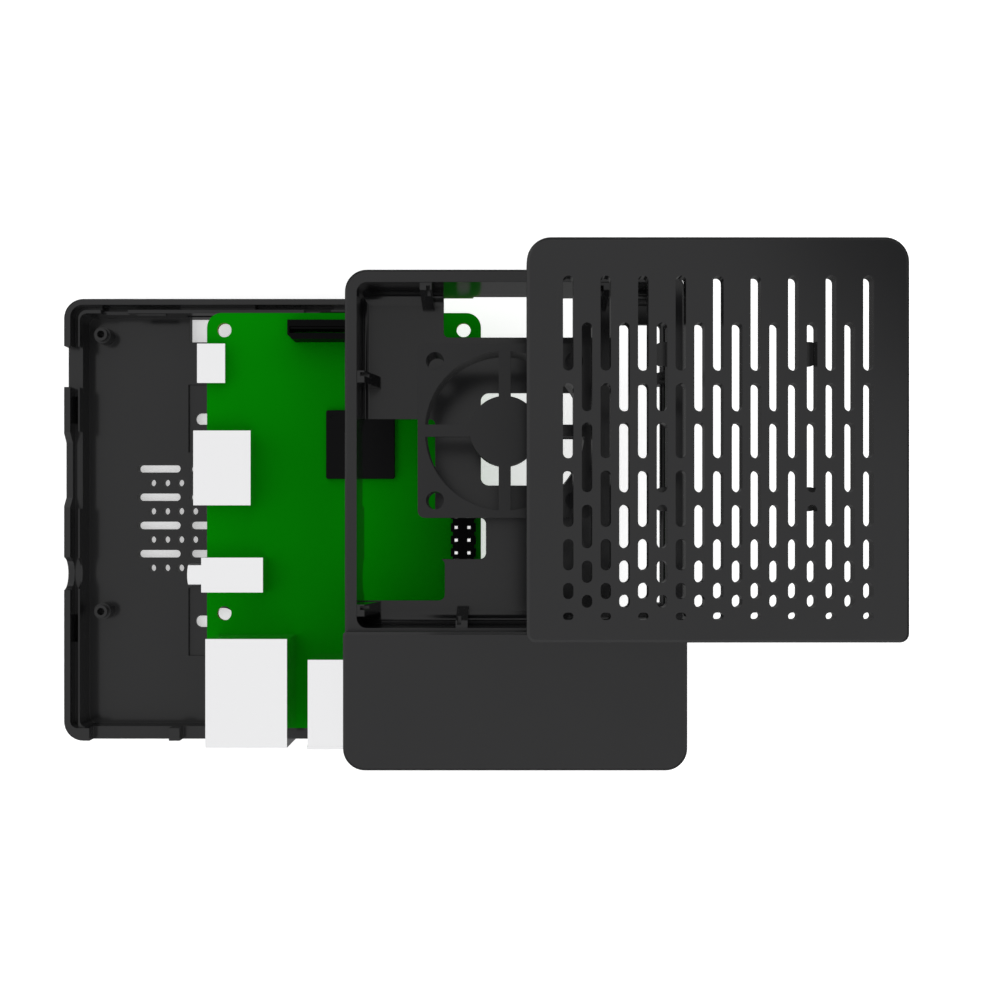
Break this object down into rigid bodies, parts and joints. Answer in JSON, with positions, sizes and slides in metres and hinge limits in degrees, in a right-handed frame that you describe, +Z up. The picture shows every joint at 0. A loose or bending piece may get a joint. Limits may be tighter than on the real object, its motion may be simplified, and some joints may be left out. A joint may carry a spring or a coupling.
{
  "type": "single board computer",
  "caption": "Single board computer with its vented snap-together fan case, pulled apart into base shell, board, middle frame, fan and slotted lid.",
  "frame": {"origin": "centre of the base shell's underside, midway between its two wall keyholes", "axes": "+Z up through the layers, +Y towards the memory card end, -Y towards the USB end, +X from the power and video sockets' side towards the pin header's side"},
  "size_m": [0.1571, 0.0914, 0.0769],
  "materials": {
    "case_plastic": "moulded black ABS, satin gloss",
    "board_green": "green solder mask, glossy",
    "chip_black": "moulded epoxy",
    "socket_metal": "tin-plated sheet, smooth",
    "socket_black": "moulded nylon",
    "socket_white": "moulded nylon, white",
    "contact_gold": "gold plated",
    "pin_metal": "tin plated, bright",
    "lamp_plastic": "clear tinted lens",
    "fan_plastic": "moulded black PBT, satin gloss",
    "bearing_bronze": "sintered bronze",
    "coil_copper": "enamelled copper wire",
    "magnet_grey": "bonded ferrite",
    "shaft_steel": "ground steel"
  },
  "bodies": {
    "base": {"base_shell": "case_plastic"},
    "board": {"circuit_board": "board_green", "processor": "chip_black", "memory_chip": "chip_black", "power_shell": "socket_metal", "power_tongue": "socket_black", "video_shell": "socket_metal", "video_tongue": "socket_black", "audio_socket": "socket_metal", "network_shell": "socket_metal", "network_insert": "socket_black", "network_contacts": "contact_gold", "network_lamps": "lamp_plastic", "usb_shell_inner": "socket_metal", "usb_tongues_inner": "socket_white", "usb_shell_outer": "socket_metal", "usb_tongues_outer": "socket_white", "ribbon_connector": "socket_black", "header_base": "socket_black", "header_pins": "pin_metal", "card_socket": "socket_metal"},
    "card": {"memory_card": "chip_black"},
    "latch": {"ribbon_latch": "socket_black"},
    "frame": {"mid_frame": "case_plastic"},
    "fan": {"fan_housing": "fan_plastic", "fan_bearing": "bearing_bronze", "fan_coils": "coil_copper", "fan_driver": "board_green"},
    "rotor": {"fan_rotor": "fan_plastic", "fan_magnet": "magnet_grey", "fan_shaft": "shaft_steel"},
    "lid": {"vent_lid": "case_plastic"}
  },
  "joints": [
    {"name": "board_slide", "type": "slide", "parent": "base", "child": "board", "axis": [-1, 0, 0], "range_m": [0, 0.02706]},
    {"name": "card_slide", "type": "slide", "parent": "board", "child": "card", "axis": [0, 1, 0], "range_m": [0, 0.0155]},
    {"name": "latch_slide", "type": "slide", "parent": "board", "child": "latch", "axis": [0, 0, 1], "range_m": [0, 0.001]},
    {"name": "frame_slide", "type": "slide", "parent": "board", "child": "frame", "axis": [-1, 0, 0], "range_m": [0, 0.0347]},
    {"name": "fan_slide", "type": "slide", "parent": "frame", "child": "fan", "axis": [1, 0, 0], "range_m": [0, 0.00538]},
    {"name": "fan_spin", "type": "hinge", "parent": "fan", "child": "rotor", "pos_m": [0.05983, 0.015, 0.0583], "axis": [0, 0, 1], "continuous": true},
    {"name": "lid_slide", "type": "slide", "parent": "frame", "child": "lid", "axis": [-1, 0, 0], "range_m": [0, 0.03287]}
  ]
}
